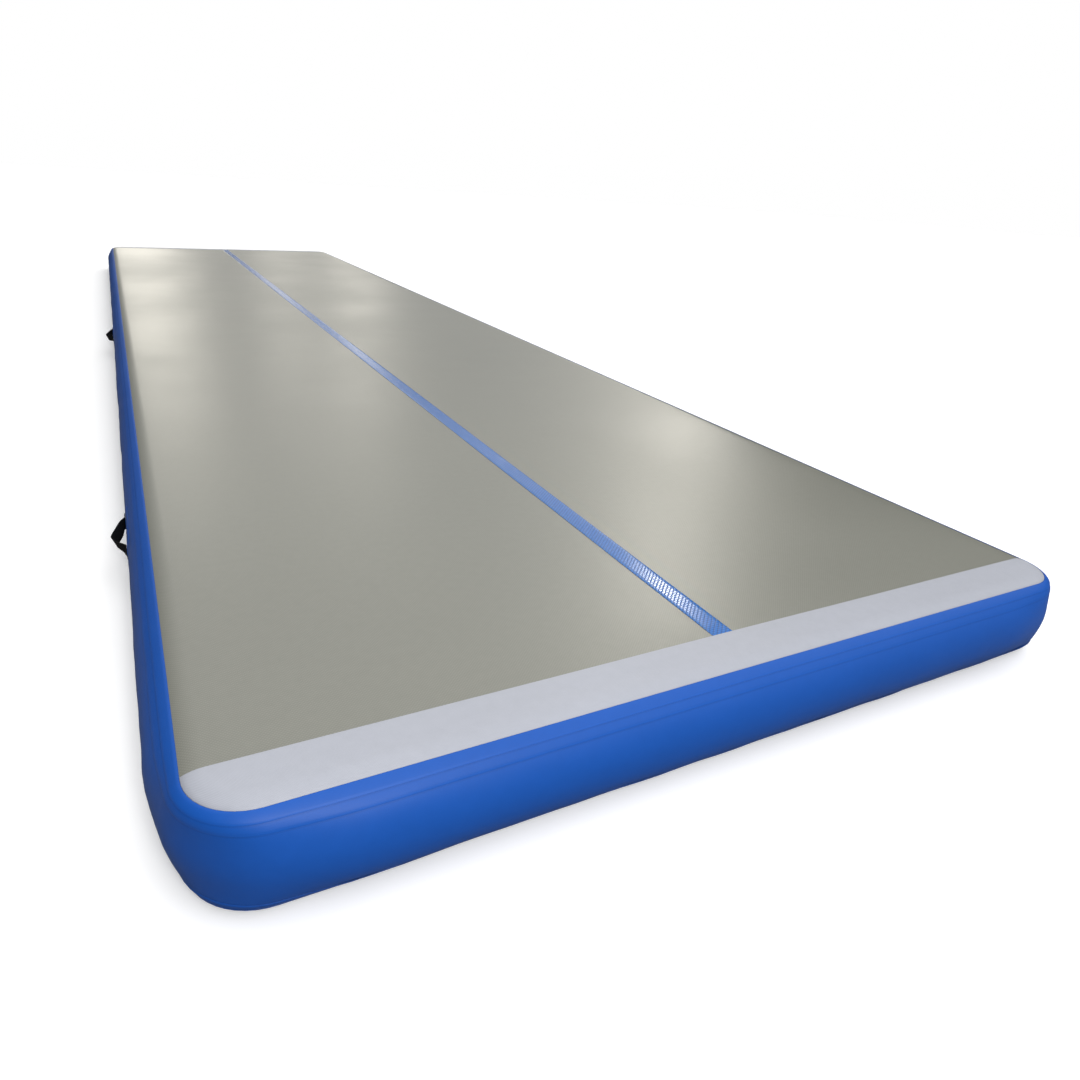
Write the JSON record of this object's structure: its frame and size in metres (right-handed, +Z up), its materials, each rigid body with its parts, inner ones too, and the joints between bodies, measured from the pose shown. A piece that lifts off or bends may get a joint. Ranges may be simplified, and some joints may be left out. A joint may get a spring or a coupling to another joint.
{
  "type": "air track mat",
  "caption": "Inflated drop-stitch tumbling track with a grey top, a bulging blue side wall, pale end bands, a centre line, webbing carry handles and an end valve.",
  "frame": {"origin": "centre of the footprint, on the floor, under the inflated track", "axes": "+Y along the track towards the valve end, +X across it, +Z up out of the landing surface"},
  "size_m": [2.1714, 8.0175, 0.2011],
  "materials": {
    "grey_pvc": "satin",
    "blue_pvc": "satin",
    "rail_pvc": "satin",
    "pale_pvc": "matte",
    "strip_pvc": "gloss",
    "base_pvc": "matte",
    "inner_pvc": "matte",
    "yarn": "matte",
    "webbing": "matte",
    "valve_grey": "satin",
    "valve_black": "satin",
    "rubber": "matte",
    "spring_steel": "satin"
  },
  "bodies": {
    "base": {"bottom_panel": "base_pvc", "outer_side_wall": "blue_pvc", "inner_side_wall": "inner_pvc", "top_seam_tape": "blue_pvc", "bottom_seam_tape": "blue_pvc", "top_rail_tape": "rail_pvc", "bottom_rail_tape": "rail_pvc", "drop_stitch_row_1": "yarn", "drop_stitch_row_2": "yarn", "drop_stitch_row_3": "yarn", "drop_stitch_row_4": "yarn", "drop_stitch_row_5": "yarn", "drop_stitch_row_6": "yarn", "drop_stitch_row_7": "yarn", "drop_stitch_row_8": "yarn"},
    "top_skin": {"top_panel": "grey_pvc", "near_end_band": "pale_pvc", "far_end_band": "pale_pvc", "centre_line_strip": "strip_pvc"},
    "side_fittings": {"handle_patch_near_left": "blue_pvc", "webbing_end_a_near_left": "webbing", "webbing_end_b_near_left": "webbing", "handle_patch_mid_left": "blue_pvc", "webbing_end_a_mid_left": "webbing", "webbing_end_b_mid_left": "webbing", "handle_patch_near_right": "blue_pvc", "webbing_end_a_near_right": "webbing", "webbing_end_b_near_right": "webbing", "handle_patch_mid_right": "blue_pvc", "webbing_end_a_mid_right": "webbing", "webbing_end_b_mid_right": "webbing", "valve_pad": "blue_pvc", "valve_gasket": "rubber", "valve_housing": "valve_grey", "valve_back_nut": "valve_grey"},
    "loop_near_left": {"webbing_loop_near_left": "webbing"},
    "loop_mid_left": {"webbing_loop_mid_left": "webbing"},
    "loop_near_right": {"webbing_loop_near_right": "webbing"},
    "loop_mid_right": {"webbing_loop_mid_right": "webbing"},
    "plunger_slide": {"spring_retainer": "spring_steel", "valve_spring": "spring_steel"},
    "plunger": {"valve_plunger": "valve_black", "valve_diaphragm": "rubber"},
    "cap_carrier": {"cap_tether": "valve_black"},
    "cap": {"valve_cap": "valve_black", "cap_seal": "rubber"}
  },
  "joints": [
    {"name": "deflate", "type": "slide", "parent": "base", "child": "top_skin", "axis": [0, 0, 1], "range_m": [-0.1, 0], "stiffness_N_per_m": 20000, "springref_m": 0.02, "deforming": ["outer_side_wall", "inner_side_wall", "top_seam_tape", "bottom_seam_tape", "top_rail_tape", "bottom_rail_tape", "drop_stitch_row_1", "drop_stitch_row_2", "drop_stitch_row_3", "drop_stitch_row_4", "drop_stitch_row_5", "drop_stitch_row_6", "drop_stitch_row_7", "drop_stitch_row_8"]},
    {"name": "waist_sink", "type": "slide", "parent": "base", "child": "side_fittings", "axis": [0, 0, 1], "range_m": [-0.05, 0]},
    {"name": "handle_swing_near_left", "type": "hinge", "parent": "side_fittings", "child": "loop_near_left", "pos_m": [-1.05, -2.75, 0.1], "axis": [0, -1, 0], "range_deg": [-60, 20], "stiffness_Nm_per_rad": 0.3},
    {"name": "handle_swing_mid_left", "type": "hinge", "parent": "side_fittings", "child": "loop_mid_left", "pos_m": [-1.05, 0, 0.1], "axis": [0, -1, 0], "range_deg": [-60, 20], "stiffness_Nm_per_rad": 0.3},
    {"name": "handle_swing_near_right", "type": "hinge", "parent": "side_fittings", "child": "loop_near_right", "pos_m": [1.05, -2.75, 0.1], "axis": [0, 1, 0], "range_deg": [-60, 20], "stiffness_Nm_per_rad": 0.3},
    {"name": "handle_swing_mid_right", "type": "hinge", "parent": "side_fittings", "child": "loop_mid_right", "pos_m": [1.05, 0, 0.1], "axis": [0, 1, 0], "range_deg": [-60, 20], "stiffness_Nm_per_rad": 0.3},
    {"name": "plunger_push", "type": "slide", "parent": "side_fittings", "child": "plunger_slide", "axis": [0, -1, 0], "range_m": [0, 0.006], "stiffness_N_per_m": 400, "springref_m": -0.004, "deforming": ["valve_spring"]},
    {"name": "plunger_turn", "type": "hinge", "parent": "plunger_slide", "child": "plunger", "pos_m": [0, 4, 0.1], "axis": [0, 1, 0], "range_deg": [0, 90]},
    {"name": "cap_lift", "type": "slide", "parent": "side_fittings", "child": "cap_carrier", "axis": [0, 1, 0], "range_m": [0, 0.006]},
    {"name": "cap_turn", "type": "hinge", "parent": "cap_carrier", "child": "cap", "pos_m": [0, 4, 0.1], "axis": [0, 1, 0], "range_deg": [0, 360]}
  ],
  "couplings": [
    {"joint": "waist_sink", "follows": "deflate", "ratio": 0.5},
    {"joint": "cap_lift", "follows": "cap_turn", "m_per_rad": 0.000954}
  ]
}
